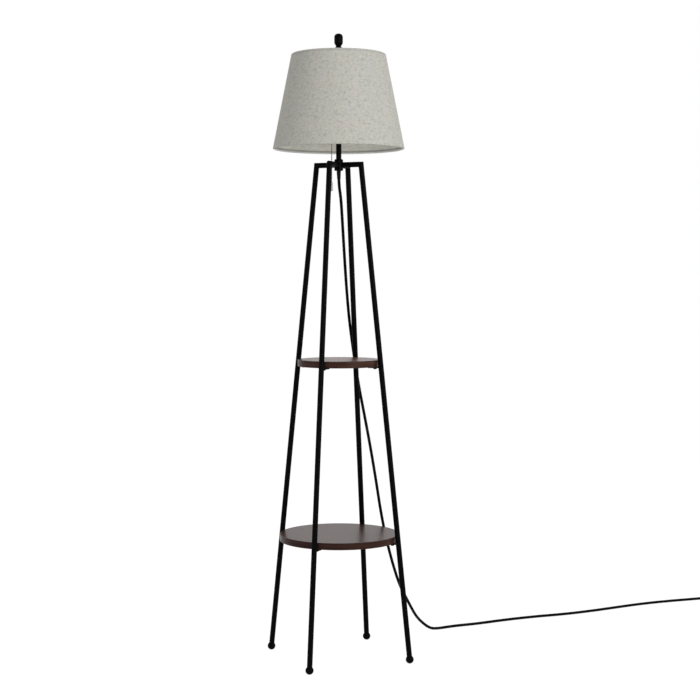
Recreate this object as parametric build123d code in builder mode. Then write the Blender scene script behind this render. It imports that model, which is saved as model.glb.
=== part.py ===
from build123d import *

import os
from math import atan2, cos, degrees, hypot, pi, radians, sin, sqrt, tan

# A free-standing floor lamp. Millimetres, +Z up, origin on the floor under the lamp's axis.
# Four tube legs stand on the X and Y axes: right +X, back +Y, left -X, front -Y.

os.makedirs("parts", exist_ok=True)

SIDES = {"right": 0, "back": 90, "left": 180, "front": 270}

# ---------------------------------------------------------------- driving dimensions

# frame
foot_circle_r = 179.2        # axis to the centre of each ball foot
corner_r = 56.6              # axis to the corner where an arm meets its leg
arm_z = 1172.6               # height of the arms' centreline
tube_r = 6.35                # outside radius of the arm and leg tubes
tube_wall = 1.2
ball_r = 9.5                 # ball foot
foot_flat = 0.4              # height cut off the ball where it stands
leg_joint_drop = 41.5        # upper shelf's top to where the upper leg tube meets the lower one
coupler_length = 44.0
spigot_length = 16.0
slide_fit = 0.05             # radial clearance of a plug in a tube

# hub and stem
hub_r = 10.3
hub_height = 26.8
hub_chamfer = 1.6
stem_length = 43.4
pipe_r = 4.85                # threaded pipe, outside
pipe_bore_r = 3.75
pipe_clearance = 0.15        # radial, pipe in hub, saddle and cap
nut_flats = 14.0
nut_height = 3.5
pocket_clearance = 0.25      # nut corners in the hub's underside pocket
bushing_height = 3.5
relief_nose = 20.0           # tapered strain relief under the hub
nose_root_r = 5.2
nose_tip_r = 4.3

# shelves
upper_shelf_top = 713.5
lower_shelf_top = 297.8
board_t = 16.0
board_round = 1.2
shelf_gap = 0.6              # between the board's rim and the legs
tab_width = 16.0
tab_t = 3.0
tab_screw_inset = 15.0       # leg axis to the screw hole
screw_r = 2.0
screw_clearance = 0.3
pilot_clearance = 0.05
screw_bite = 11.0            # how far the screw goes into the board
screw_head_r = 4.0
screw_head_h = 2.6

# harp
saddle_t = 1.5
saddle_width = 12.0
saddle_foot_r = 30.0         # axis to each foot of the harp
harp_height = 188.6          # saddle to the shoulder that the shade sits on
harp_wire_r = 1.6
harp_half_width = 55.0       # axis to the wire at the widest
harp_lift = 14.0
harp_end_gap = 0.3
trough_wall = 1.0
trough_height = 11.0
ferrule_wall = 0.8
ferrule_height = 10.0
ferrule_lift = 12.0
wire_clearance = 0.12
top_block_r = 7.0
top_block_h = 7.0
stud_r = 3.1
stud_length = 15.0

# lamp holder
cap_wall = 0.65
cap_height = 20.0
shell_r = 16.5
shell_wall = 0.5
shell_height = 46.0
shell_overlap = 6.0          # shell inside the cap's mouth
cap_fit = 0.15
cap_neck_height = 3.0
cap_neck_wall = 1.6
sleeve_t = 0.5
switch_r = 13.9
switch_height = 22.0
switch_raise = 8.0           # cap floor to the switch body
bulb_base_r = 13.0
bulb_base_fit = 0.35
screw_shell_wall = 0.4
screw_shell_height = 25.0
contact_r = 3.5
contact_h = 1.2

# pull chain
chain_angle = -116.6         # direction of the chain from the axis, degrees
bell_bore_r = 2.3
bell_wall = 1.2
bell_gap = 1.2               # cap to the bell's side
bell_height = 14.0
bell_rise = 17.0             # cap bottom to the bell's mouth
chain_bead_r = 1.6
chain_pitch = 4.3
chain_link_r = 0.55
chain_gap = 0.4              # pull link to the chain's first bead
chain_beads = 29
pull_travel = 8.0
pendant_r = 3.0
pendant_length = 20.0

# bulb
bulb_r = 30.0
bulb_length = 108.0
bulb_base_height = 25.0
bulb_neck_r = 13.4
bulb_wall = 0.8
bulb_seat_gap = 0.4          # contact to the bulb's tip

# shade
seat_gap = 0.3               # between harp, washer and finial, so that each can turn
shade_top_r = 111.5
shade_bottom_r = 155.0
shade_height = 221.6
shade_recess = 11.5          # shoulder of the harp to the shade's top edge
linen_t = 0.8
liner_t = 0.4
ring_wire_r = 1.6
hem_length = 9.0
hem_bend_r = 2.0
hem_approach = 45.0          # degrees at which the hem comes off the ring
washer_r = 12.0
washer_t = 1.5
washer_fit = 0.08
spoke_r = 1.5
spoke_start_r = 9.5
spoke_angles = (0, 120, 240)

# finial
finial_height = 58.4
finial_body_r = 10.2
finial_neck_r = 5.9
finial_collar_r = 8.3
finial_stem_r = 4.6
finial_base_r = 6.3
finial_bore_r = 3.17
finial_bore_depth = 15.0

# cord
cord_r = 3.6
cord_exit_fit = 0.1
coil_mean_r = 40.0
coil_turns_wide = 2
coil_turns_high = 2
coil_corner_r = 3.5
tie_t = 0.6
tie_width = 5.0
tie_slack = 0.1
tie_angle = 200.0

# plug
plug_length = 27.0
plug_width = 24.0
plug_height = 13.0
plug_round = 3.0
plug_turn = 135.0            # degrees round the coil, from where the lead comes on to where it leaves
plug_lead = 4.0              # where the lead leaves the coil to the start of the relief
relief_length = 28.0
relief_r = 5.8
relief_tip_r = 4.7
blade_length = 17.5
blade_width = 6.4
blade_t = 1.5
blade_spacing = 12.7
blade_root = 6.0             # blade held inside the moulding
blade_hole_r = 1.6
blade_hole_inset = 4.0       # blade's tip to its hole


# ---------------------------------------------------------------- heights and lines worked out

foot_z = ball_r - foot_flat
tube_bore_r = tube_r - tube_wall
hub_bottom = arm_z - hub_height / 2
leg_joint_z = upper_shelf_top - leg_joint_drop
hub_top = arm_z + hub_height / 2
saddle_bottom = hub_top + stem_length
saddle_top = saddle_bottom + saddle_t
shoulder_z = saddle_top + harp_height
cap_bottom = saddle_top + nut_height
cap_bore_r = shell_r + cap_fit
cap_r = cap_bore_r + cap_wall
shell_bottom = cap_bottom + cap_height - shell_overlap
shell_top = shell_bottom + shell_height
switch_bottom = cap_bottom + switch_raise
switch_top = switch_bottom + switch_height
bulb_bottom = switch_top + contact_h + bulb_seat_gap
shade_top = shoulder_z + shade_recess
shade_bottom = shade_top - shade_height
washer_bottom = shoulder_z + seat_gap
finial_bottom = washer_bottom + washer_t + seat_gap
finial_top = finial_bottom + finial_height

leg_slope = atan2(foot_circle_r - corner_r, arm_z - foot_z)
leg_direction = Vector(sin(leg_slope), 0, -cos(leg_slope))
corner = Vector(corner_r, 0, arm_z)
foot_centre = Vector(foot_circle_r, 0, foot_z)
foot_seat = sqrt(ball_r**2 - (tube_r + slide_fit) ** 2)


def leg_axis(height):
    """The point of the right leg's centreline at a height."""
    radius = corner_r + (arm_z - height) * tan(leg_slope)
    return Vector(radius, 0, height)


def save(builder, node):
    """Label a finished piece and write it to its own file."""
    builder.part.label = node
    export_step(builder.part, f"parts/{node}.step")


def turned(outline):
    """A solid turned about Z from (radius, height) corners."""
    with BuildPart() as body:
        with BuildSketch(Plane.XZ):
            with BuildLine():
                Polyline(*outline, close=True)
            make_face()
        revolve(axis=Axis.Z)
    return body


def four_of(blank):
    """A group of four copies of a piece, one at each leg."""
    with BuildPart() as group:
        with PolarLocations(0, len(SIDES)):
            add(blank.part)
    return group


def save_each_side(blank, stem):
    """One node for each leg's copy of a piece."""
    for side, angle in SIDES.items():
        with BuildPart() as piece:
            with Locations(Location((0, 0, 0), (0, 0, angle))):
                add(blank.part)
        save(piece, f"{stem}_{side}")


# ---------------------------------------------------------------- arms and legs

mitre_normal = (Vector(1, 0, 0) + leg_direction).normalized()
mitre = Plane(origin=corner, z_dir=mitre_normal)
joint_point = leg_axis(leg_joint_z)
overrun = 2 * tube_r

with BuildPart() as arm_blank:
    with BuildSketch(Plane(origin=(0, 0, arm_z), z_dir=(1, 0, 0))):
        Circle(tube_r)
        Circle(tube_bore_r, mode=Mode.SUBTRACT)
    extrude(amount=corner_r + overrun)
    split(bisect_by=mitre, keep=Keep.BOTTOM)
    with BuildSketch(Plane.XY.offset(hub_bottom)):
        Circle(hub_r)
    extrude(amount=hub_height, mode=Mode.SUBTRACT)
save_each_side(arm_blank, "arm")

with BuildPart() as leg_upper_blank:
    with BuildSketch(Plane(origin=joint_point, z_dir=leg_direction * -1)):
        Circle(tube_r)
        Circle(tube_bore_r, mode=Mode.SUBTRACT)
    extrude(amount=(joint_point - corner).length + overrun)
    split(bisect_by=mitre, keep=Keep.TOP)
save_each_side(leg_upper_blank, "leg_upper")

with BuildPart() as leg_lower_blank:
    with BuildSketch(Plane(origin=joint_point, z_dir=leg_direction)):
        Circle(tube_r)
        Circle(tube_bore_r, mode=Mode.SUBTRACT)
    extrude(amount=(foot_centre - joint_point).length - foot_seat)
save_each_side(leg_lower_blank, "leg_lower")

with BuildPart() as coupler_blank:
    with BuildSketch(Plane(origin=joint_point, z_dir=leg_direction)):
        Circle(tube_bore_r - slide_fit)
    extrude(amount=coupler_length / 2, both=True)
save(four_of(coupler_blank), "leg_couplers")

with BuildPart() as foot_blank:
    with Locations(foot_centre):
        Sphere(ball_r)
    with BuildSketch(Plane(origin=foot_centre - leg_direction * foot_seat, z_dir=leg_direction * -1)):
        Circle(ball_r)
    extrude(amount=ball_r, mode=Mode.SUBTRACT)
    with BuildSketch(Plane(origin=foot_centre - leg_direction * foot_seat, z_dir=leg_direction * -1)):
        Circle(tube_bore_r - slide_fit)
    extrude(amount=spigot_length)
    split(bisect_by=Plane.XY, keep=Keep.TOP)
save_each_side(foot_blank, "foot")

# ---------------------------------------------------------------- hub, stem and clamping pipe

pocket_r = nut_flats / sqrt(3) + pocket_clearance
pocket_depth = nut_height + bushing_height

with BuildPart() as hub:
    with BuildSketch(Plane.XY.offset(hub_bottom)):
        Circle(hub_r)
    extrude(amount=hub_height)
    chamfer(hub.edges().filter_by(GeomType.CIRCLE).sort_by(Axis.Z)[-1], hub_chamfer)
    with BuildSketch(Plane.XY.offset(hub_bottom)):
        Circle(pocket_r)
    extrude(amount=pocket_depth, mode=Mode.SUBTRACT)
    with BuildSketch(Plane.XY.offset(hub_bottom)):
        Circle(pipe_r + pipe_clearance)
    extrude(amount=hub_height, mode=Mode.SUBTRACT)
save(hub, "hub")

with BuildPart() as stem_tube:
    with BuildSketch(Plane.XY.offset(hub_top)):
        Circle(tube_r)
        Circle(tube_bore_r, mode=Mode.SUBTRACT)
    extrude(amount=stem_length)
save(stem_tube, "stem_tube")

pipe_bottom = hub_bottom + bushing_height
pipe_top = cap_bottom + cap_neck_height

with BuildPart() as threaded_pipe:
    with BuildSketch(Plane.XY.offset(pipe_bottom)):
        Circle(pipe_r)
        Circle(pipe_bore_r, mode=Mode.SUBTRACT)
    extrude(amount=pipe_top - pipe_bottom)
save(threaded_pipe, "threaded_pipe")

with BuildPart() as pipe_nuts:
    for nut_z in (hub_bottom + bushing_height, saddle_top):
        with BuildSketch(Plane.XY.offset(nut_z)):
            RegularPolygon(nut_flats / 2, 6, major_radius=False)
            Circle(pipe_r + slide_fit, mode=Mode.SUBTRACT)
        extrude(amount=nut_height)
save(pipe_nuts, "pipe_nuts")

with BuildPart() as cord_bushing:
    with BuildSketch(Plane.XY.offset(hub_bottom)):
        Circle(pocket_r - slide_fit)
        Circle(cord_r + cord_exit_fit, mode=Mode.SUBTRACT)
    extrude(amount=bushing_height)
    with Locations((0, 0, hub_bottom - relief_nose / 2)):
        Cone(nose_tip_r, nose_root_r, relief_nose)
    with BuildSketch(Plane.XY.offset(hub_bottom)):
        Circle(cord_r + cord_exit_fit)
    extrude(amount=-relief_nose, mode=Mode.SUBTRACT)
save(cord_bushing, "cord_bushing")

# ---------------------------------------------------------------- shelves


def make_shelf(name, top):
    """A round board between the legs, with the tabs that carry it and their screws."""
    bottom = top - board_t
    rim_r = leg_axis(top).X - tube_r / cos(leg_slope) - shelf_gap
    screw_x = leg_axis(bottom).X - tab_screw_inset
    screw_point = Vector(screw_x, 0, bottom)

    with BuildPart() as board:
        with BuildSketch(Plane.XY.offset(bottom)):
            Circle(rim_r)
        extrude(amount=board_t)
        fillet(board.edges().filter_by(GeomType.CIRCLE), board_round)
        with BuildSketch(Plane.XY.offset(bottom)):
            with PolarLocations(screw_x, len(SIDES)):
                Circle(screw_r + pilot_clearance)
        extrude(amount=screw_bite + 1, mode=Mode.SUBTRACT)
    save(board, f"{name}_shelf")

    with BuildPart() as tab_blank:
        with BuildSketch(Plane(origin=screw_point, z_dir=(0, 0, -1))):
            Circle(tab_width / 2)
            Rectangle(tab_screw_inset, tab_width, align=(Align.MIN, Align.CENTER))
            Circle(screw_r + screw_clearance, mode=Mode.SUBTRACT)
        extrude(amount=tab_t)
        with BuildSketch(Plane(origin=leg_axis(bottom - overrun), z_dir=leg_direction * -1)):
            Circle(tube_r)
        extrude(amount=2 * overrun, mode=Mode.SUBTRACT)
        inner = tab_blank.solids().sort_by(Axis.X)[0]
        add(inner, mode=Mode.REPLACE)
    save(four_of(tab_blank), f"{name}_shelf_tabs")

    with BuildPart() as screw_blank:
        with BuildSketch(Plane(origin=screw_point - Vector(0, 0, tab_t), z_dir=(0, 0, -1))):
            Circle(screw_head_r)
        extrude(amount=screw_head_h)
        head_rim = screw_blank.edges().filter_by(GeomType.CIRCLE).sort_by(Axis.Z)[0]
        fillet(head_rim, screw_head_h / 2)
        with BuildSketch(Plane(origin=screw_point - Vector(0, 0, tab_t))):
            Circle(screw_r)
        extrude(amount=tab_t + screw_bite)
        with BuildSketch(Plane(origin=screw_point - Vector(0, 0, tab_t + screw_head_h))):
            Rectangle(screw_head_r * 1.1, screw_head_r / 5)
            Rectangle(screw_head_r / 5, screw_head_r * 1.1)
        extrude(amount=screw_head_h / 2, mode=Mode.SUBTRACT)
    save(four_of(screw_blank), f"{name}_shelf_screws")


make_shelf("upper", upper_shelf_top)
make_shelf("lower", lower_shelf_top)

# ---------------------------------------------------------------- harp

trough_bore_r = harp_wire_r + wire_clearance
trough_r = trough_bore_r + trough_wall
ferrule_bore_r = trough_r + wire_clearance

with BuildPart() as harp_saddle:
    with BuildSketch(Plane.XY.offset(saddle_bottom)):
        SlotCenterToCenter(2 * saddle_foot_r, saddle_width)
        Circle(pipe_r + pipe_clearance, mode=Mode.SUBTRACT)
    extrude(amount=saddle_t)
    with BuildSketch(Plane.XY.offset(saddle_top)):
        with Locations((saddle_foot_r, 0), (-saddle_foot_r, 0)):
            Circle(trough_r)
            Circle(trough_bore_r, mode=Mode.SUBTRACT)
        with Locations((saddle_foot_r + trough_r, 0), (-saddle_foot_r - trough_r, 0)):
            Rectangle(2 * trough_r, 2 * trough_bore_r, mode=Mode.SUBTRACT)
    extrude(amount=trough_height)
save(harp_saddle, "harp_saddle")

wire_top_z = shoulder_z - top_block_h / 2
wire_straight_z = saddle_top + ferrule_height + ferrule_lift + harp_lift / 2
wire_belly_z = wire_straight_z + 1.4 * (harp_half_width - saddle_foot_r)
wire_shoulder_z = wire_top_z - 44.0
wire_foot_z = saddle_top + harp_end_gap
harp_half = [
    (saddle_foot_r, wire_foot_z),
    (saddle_foot_r, wire_straight_z),
    (harp_half_width, wire_belly_z),
    (harp_half_width, wire_shoulder_z),
    (harp_half_width / 2, wire_top_z),
]
harp_points = [Vector(x, 0, z) for x, z in harp_half]
harp_points += [Vector(-x, 0, z) for x, z in reversed(harp_half)]
harp_bends = [22, 36, 38, 15]
harp_bends += list(reversed(harp_bends))

with BuildPart() as harp_wire:
    with BuildLine() as harp_path:
        FilletPolyline(*harp_points, radius=harp_bends)
    with BuildSketch(Plane(origin=harp_points[0], z_dir=(0, 0, 1))):
        Circle(harp_wire_r)
    sweep(path=harp_path.wires()[0])
save(harp_wire, "harp_wire")

with BuildPart() as harp_top_stud:
    with BuildSketch(Plane.XY.offset(shoulder_z - top_block_h)):
        Circle(top_block_r)
    extrude(amount=top_block_h)
    chamfer(harp_top_stud.edges().filter_by(GeomType.CIRCLE).sort_by(Axis.Z)[0], 1)
    with BuildSketch(Plane.XY.offset(shoulder_z)):
        Circle(stud_r)
    extrude(amount=stud_length)
    chamfer(harp_top_stud.edges().filter_by(GeomType.CIRCLE).sort_by(Axis.Z)[-1], 0.8)
    with BuildSketch(Plane(origin=(0, 0, wire_top_z), z_dir=(1, 0, 0))):
        Circle(harp_wire_r + slide_fit)
    extrude(amount=2 * top_block_r, both=True, mode=Mode.SUBTRACT)
save(harp_top_stud, "harp_top_stud")

for side, foot_x in {"right": saddle_foot_r, "left": -saddle_foot_r}.items():
    with BuildPart() as ferrule:
        with BuildSketch(Plane(origin=(foot_x, 0, saddle_top + harp_end_gap))):
            Circle(ferrule_bore_r + ferrule_wall)
            Circle(ferrule_bore_r, mode=Mode.SUBTRACT)
        extrude(amount=ferrule_height)
        fillet(ferrule.edges().filter_by(GeomType.CIRCLE).group_by(SortBy.RADIUS)[-1], ferrule_wall / 2)
    save(ferrule, f"harp_ferrule_{side}")

# ---------------------------------------------------------------- lamp holder

chain_direction = Vector(cos(radians(chain_angle)), sin(radians(chain_angle)), 0)
bell_r = bell_bore_r + bell_wall
chain_radius = cap_r + bell_gap + bell_r
chain_axis = chain_direction * chain_radius
bell_mouth_z = cap_bottom + bell_rise
spout_z = bell_mouth_z + bell_height - bell_r

cap_mouth = cap_bottom + cap_height
cap_shoulder = cap_mouth - shell_overlap
cap_neck_r = pipe_r + pipe_clearance + cap_neck_wall
cap_floor_r = cap_neck_r + 2.0
cap_bulge = Vector(cap_r * 0.86, cap_bottom + (cap_height - shell_overlap) * 0.42)

with BuildPart() as socket_cap:
    with BuildSketch(Plane.XZ):
        with BuildLine():
            Line((pipe_r + slide_fit, cap_bottom), (cap_floor_r, cap_bottom))
            ThreePointArc((cap_floor_r, cap_bottom), cap_bulge, (cap_r, cap_shoulder))
            Polyline((cap_r, cap_shoulder), (cap_r, cap_mouth), (cap_bore_r, cap_mouth), (cap_bore_r, cap_shoulder))
            ThreePointArc(
                (cap_bore_r, cap_shoulder),
                cap_bulge + Vector(-cap_wall, cap_wall) * 0.75,
                (cap_floor_r, cap_bottom + cap_wall),
            )
            Polyline(
                (cap_floor_r, cap_bottom + cap_wall),
                (cap_neck_r, cap_bottom + cap_wall),
                (cap_neck_r, cap_bottom + cap_neck_height),
                (pipe_r + slide_fit, cap_bottom + cap_neck_height),
                (pipe_r + slide_fit, cap_bottom),
            )
        make_face()
    revolve(axis=Axis.Z)
save(socket_cap, "socket_cap")

spout_plane = Plane(origin=(0, 0, spout_z), z_dir=chain_direction)

with BuildPart() as socket_shell:
    with BuildSketch(Plane.XY.offset(shell_bottom)):
        Circle(shell_r)
        Circle(shell_r - shell_wall, mode=Mode.SUBTRACT)
    extrude(amount=shell_height)
    with BuildSketch(spout_plane):
        Circle(bell_bore_r)
    extrude(amount=shell_r + 1, mode=Mode.SUBTRACT)
save(socket_shell, "socket_shell")

sleeve_r = shell_r - shell_wall - slide_fit

with BuildPart() as socket_insulator:
    with BuildSketch(Plane.XY.offset(shell_bottom)):
        Circle(sleeve_r)
        Circle(sleeve_r - sleeve_t, mode=Mode.SUBTRACT)
    extrude(amount=shell_height - 2)
    with BuildSketch(spout_plane):
        Circle(bell_bore_r)
    extrude(amount=shell_r + 1, mode=Mode.SUBTRACT)
save(socket_insulator, "socket_insulator")

terminal_x = switch_r * 0.62
terminal_r = 1.8
terminal_depth = 4.0

with BuildPart() as switch_body:
    with BuildSketch(Plane.XY.offset(switch_bottom)):
        Circle(switch_r)
    extrude(amount=switch_height)
    chamfer(switch_body.edges().filter_by(GeomType.CIRCLE), 0.6)
    with BuildSketch(spout_plane):
        Circle(bell_bore_r)
    extrude(amount=switch_r + 1, mode=Mode.SUBTRACT)
    with BuildSketch(Plane.XY.offset(switch_bottom)):
        with Locations((terminal_x, 0), (-terminal_x, 0)):
            Circle(terminal_r + slide_fit)
    extrude(amount=terminal_depth, mode=Mode.SUBTRACT)
save(switch_body, "switch_body")

with BuildPart() as terminal_screws:
    with BuildSketch(Plane.XY.offset(switch_bottom)):
        with Locations((terminal_x, 0), (-terminal_x, 0)):
            Circle(terminal_r)
    extrude(amount=terminal_depth)
    with BuildSketch(Plane.XY.offset(switch_bottom)):
        with Locations((terminal_x, 0), (-terminal_x, 0)):
            Circle(terminal_r * 1.5)
    extrude(amount=-1.2)
save(terminal_screws, "terminal_screws")

screw_bore_r = bulb_base_r + bulb_base_fit
screw_shell_top = switch_top + screw_shell_height

with BuildPart() as screw_shell:
    with BuildSketch(Plane.XY.offset(switch_top)):
        Circle(screw_bore_r + screw_shell_wall)
        Circle(screw_bore_r, mode=Mode.SUBTRACT)
    extrude(amount=screw_shell_height)
save(screw_shell, "screw_shell")

with BuildPart() as centre_contact:
    with BuildSketch(Plane.XY.offset(switch_top)):
        Circle(contact_r)
    extrude(amount=contact_h)
    fillet(centre_contact.edges().filter_by(GeomType.CIRCLE).sort_by(Axis.Z)[-1], contact_h / 2)
save(centre_contact, "centre_contact")

lead_top = pipe_top + 1.0
conductor_r = 0.9
conductor_end_z = switch_bottom - 1.2 - conductor_r

with BuildPart() as inner_lead:
    with BuildSketch(Plane.XY.offset(hub_bottom)):
        Circle(cord_r)
    extrude(amount=lead_top - hub_bottom)
    for direction in (1, -1):
        with BuildSketch(Plane(origin=(0, 0, conductor_end_z), z_dir=(direction, 0, 0))):
            Circle(conductor_r)
        extrude(amount=terminal_x + terminal_r)
    with BuildSketch(Plane.XY.offset(lead_top)):
        Circle(conductor_r)
    extrude(amount=conductor_end_z - lead_top)
save(inner_lead, "inner_lead")

# ---------------------------------------------------------------- chain outlet, pull link and chain

with BuildPart() as chain_bell:
    with BuildSketch(Plane(origin=chain_axis + Vector(0, 0, bell_mouth_z))):
        Circle(bell_r)
    extrude(amount=bell_height)
    with BuildSketch(spout_plane):
        Circle(bell_r)
    extrude(amount=chain_radius)
    with BuildSketch(Plane.XY.offset(bell_mouth_z)):
        Circle(shell_r)
    extrude(amount=bell_height + bell_r, mode=Mode.SUBTRACT)
    with BuildSketch(Plane(origin=chain_axis + Vector(0, 0, bell_mouth_z))):
        Circle(bell_bore_r)
    extrude(amount=bell_height - bell_wall, mode=Mode.SUBTRACT)
    with BuildSketch(spout_plane):
        Circle(bell_bore_r)
    extrude(amount=chain_radius, mode=Mode.SUBTRACT)
    mouth_edges = chain_bell.edges().filter_by(GeomType.CIRCLE).group_by(Axis.Z)[0]
    chamfer(mouth_edges.sort_by(SortBy.RADIUS)[0], bell_wall / 2)
save(chain_bell, "chain_bell")

link_top_z = spout_z

with BuildPart() as switch_link:
    with Locations(chain_axis + Vector(0, 0, link_top_z)):
        Sphere(chain_bead_r)
    with BuildSketch(Plane(origin=chain_axis + Vector(0, 0, link_top_z))):
        Circle(chain_link_r)
    extrude(amount=bell_mouth_z - link_top_z)
save(switch_link, "switch_link")

chain_top_z = bell_mouth_z - chain_gap
chain_bottom_z = chain_top_z - (chain_beads - 1) * chain_pitch - chain_bead_r

with BuildPart() as pull_chain:
    with BuildSketch(Plane(origin=chain_axis + Vector(0, 0, chain_bottom_z))):
        Circle(chain_link_r)
    extrude(amount=chain_top_z - chain_bottom_z)
    for bead in range(chain_beads):
        with Locations(chain_axis + Vector(0, 0, chain_top_z - chain_bead_r - bead * chain_pitch)):
            Sphere(chain_bead_r)
save(pull_chain, "pull_chain")

pendant_top_z = chain_bottom_z + chain_bead_r

with BuildPart() as chain_pendant:
    with BuildSketch(Plane(origin=chain_axis + Vector(0, 0, pendant_top_z))):
        Circle(pendant_r)
    extrude(amount=-pendant_length)
    fillet(chain_pendant.edges().filter_by(GeomType.CIRCLE), pendant_r / 3)
    with BuildSketch(Plane(origin=chain_axis + Vector(0, 0, pendant_top_z))):
        Circle(chain_bead_r + slide_fit)
    extrude(amount=-3 * chain_bead_r, mode=Mode.SUBTRACT)
save(chain_pendant, "chain_pendant")

# ---------------------------------------------------------------- bulb

bulb_neck_z = bulb_bottom + bulb_base_height
bulb_top = bulb_bottom + bulb_length
bulb_centre_z = bulb_top - bulb_r
glass_seat_z = bulb_neck_z - 4.0


def bulb_outline(inset):
    """The bulb's closed half outline, inset by a wall, drawn in the current line builder."""
    globe_r = bulb_r - inset
    tail = radians(-28)
    tail_point = (globe_r * cos(tail), bulb_centre_z + globe_r * sin(tail))
    neck_point = (bulb_neck_r - inset, bulb_neck_z + 6)
    CenterArc((0, bulb_centre_z), globe_r, 90, -118)
    Spline(tail_point, neck_point, tangents=[(sin(tail), -cos(tail)), (0, -1)])
    Line(neck_point, (bulb_neck_r - inset, bulb_neck_z))
    Polyline(
        (bulb_neck_r - inset, bulb_neck_z),
        (bulb_base_r - 1.2 - inset, bulb_neck_z - 0.2),
        (bulb_base_r - 1.2 - inset, glass_seat_z),
        (0, glass_seat_z),
        (0, bulb_centre_z + globe_r),
    )


with BuildPart() as bulb_glass:
    with BuildSketch(Plane.XZ):
        with BuildLine():
            bulb_outline(0)
        make_face()
    revolve(axis=Axis.Z)
    with BuildSketch(Plane.XZ):
        with BuildLine():
            bulb_outline(bulb_wall)
        make_face()
    revolve(axis=Axis.Z, mode=Mode.SUBTRACT)
save(bulb_glass, "bulb_glass")

thread_pitch = 3.63
thread_r = 0.8
base_skin_r = bulb_base_r - thread_r

bulb_base = turned(
    [
        (0, bulb_bottom),
        (3.4, bulb_bottom),
        (4.2, bulb_bottom + 1.6),
        (base_skin_r - 1.5, bulb_bottom + 4.2),
        (base_skin_r, bulb_bottom + 5.2),
        (base_skin_r, bulb_neck_z - 0.6),
        (bulb_base_r - 1.15, bulb_neck_z - 0.6),
        (bulb_base_r - 1.15, glass_seat_z - 0.1),
        (0, glass_seat_z - 0.1),
    ]
)
with bulb_base:
    for turn in range(4):
        with Locations((0, 0, bulb_bottom + 7.4 + turn * thread_pitch)):
            Torus(base_skin_r, thread_r)
save(bulb_base, "bulb_base")

# ---------------------------------------------------------------- shade

roll_r = ring_wire_r + linen_t                     # outside radius of the rolled edge
wall_mid = ring_wire_r + linen_t / 2               # ring centre to the middle of the linen
shade_slope = atan2(shade_bottom_r - shade_top_r, shade_height - 2 * roll_r)
along = Vector(sin(shade_slope), -cos(shade_slope))     # down the wall, in (radius, height)
outward = Vector(cos(shade_slope), sin(shade_slope))    # out of the wall
top_ring_point = Vector(shade_top_r - roll_r / cos(shade_slope), shade_top - roll_r)
bottom_ring_point = Vector(shade_bottom_r - roll_r / cos(shade_slope), shade_bottom + roll_r)
hem_offset = ring_wire_r - liner_t - linen_t / 2   # middle of the hem, out from the ring centre


def wall_point(ring_point, down, out):
    """A point beside a ring, given down the wall and out of it."""
    return ring_point + along * down + outward * out


def rolled_edge(ring_point, sense):
    """The linen's middle line round one ring, from the free hem to the outside of the wall."""
    approach = radians(hem_approach)
    leave_down = sense * wall_mid * sin(approach)
    leave_out = -wall_mid * cos(approach)
    knee_run = (hem_offset - leave_out) / tan(approach)
    leave = wall_point(ring_point, leave_down, leave_out)
    knee = wall_point(ring_point, leave_down + sense * knee_run, hem_offset)
    free_end = wall_point(ring_point, sense * hem_length, hem_offset)
    far_side = wall_point(ring_point, -sense * wall_mid, 0)
    outside = wall_point(ring_point, 0, wall_mid)
    FilletPolyline(free_end, knee, leave, radius=hem_bend_r)
    ThreePointArc(leave, far_side, outside)
    return outside


spoke_start = Vector(spoke_start_r, 0, washer_bottom + washer_t + 0.6 * spoke_r)
spoke_end = Vector(top_ring_point.X, 0, top_ring_point.Y)
spoke_vector = spoke_end - spoke_start

with BuildPart() as spoke_blank:
    with BuildSketch(Plane(origin=spoke_start, z_dir=spoke_vector)):
        Circle(spoke_r)
    extrude(amount=spoke_vector.length)
    with Locations((0, 0, top_ring_point.Y)):
        Torus(top_ring_point.X, ring_wire_r, mode=Mode.SUBTRACT)
    add(spoke_blank.solids().sort_by(Axis.X)[0], mode=Mode.REPLACE)

with BuildPart() as shade_spider:
    with BuildSketch(Plane.XY.offset(washer_bottom)):
        Circle(washer_r)
    extrude(amount=washer_t)
    for angle in spoke_angles:
        with Locations(Location((0, 0, 0), (0, 0, angle))):
            add(spoke_blank.part)
    with BuildSketch(Plane.XY.offset(washer_bottom)):
        Circle(stud_r + washer_fit)
    extrude(amount=washer_t, mode=Mode.SUBTRACT)
    with BuildSketch(Plane.XY.offset(washer_bottom + washer_t)):
        Circle(finial_base_r + 1)
    extrude(amount=2 * spoke_r, mode=Mode.SUBTRACT)
save(shade_spider, "shade_spider")

with BuildPart() as shade_fabric:
    with BuildSketch(Plane.XZ):
        with BuildLine():
            upper_outside = rolled_edge(top_ring_point, 1)
            lower_outside = rolled_edge(bottom_ring_point, -1)
            Line(upper_outside, lower_outside)
        trace(line_width=linen_t)
    revolve(axis=Axis.Z)
    for angle in spoke_angles:
        with Locations(Location((0, 0, 0), (0, 0, angle))):
            add(spoke_blank.part, mode=Mode.SUBTRACT)
save(shade_fabric, "shade_fabric")

liner_start = ring_wire_r + 0.1
liner_out = ring_wire_r - liner_t
liner_corners = [
    wall_point(top_ring_point, liner_start, liner_out),
    wall_point(top_ring_point, liner_start, ring_wire_r),
    wall_point(bottom_ring_point, -liner_start, ring_wire_r),
    wall_point(bottom_ring_point, -liner_start, liner_out),
]
shade_liner = turned([(point.X, point.Y) for point in liner_corners])
save(shade_liner, "shade_liner")

for name, ring_point in {"top": top_ring_point, "bottom": bottom_ring_point}.items():
    with BuildPart() as shade_ring:
        with Locations((0, 0, ring_point.Y)):
            Torus(ring_point.X, ring_wire_r)
    save(shade_ring, f"shade_{name}_ring")

# ---------------------------------------------------------------- finial

collar_z = finial_top - 34.2
neck_z = finial_top - 30.6
belly_z = finial_top - 21.0
crown_z = finial_top - 9.4

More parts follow.
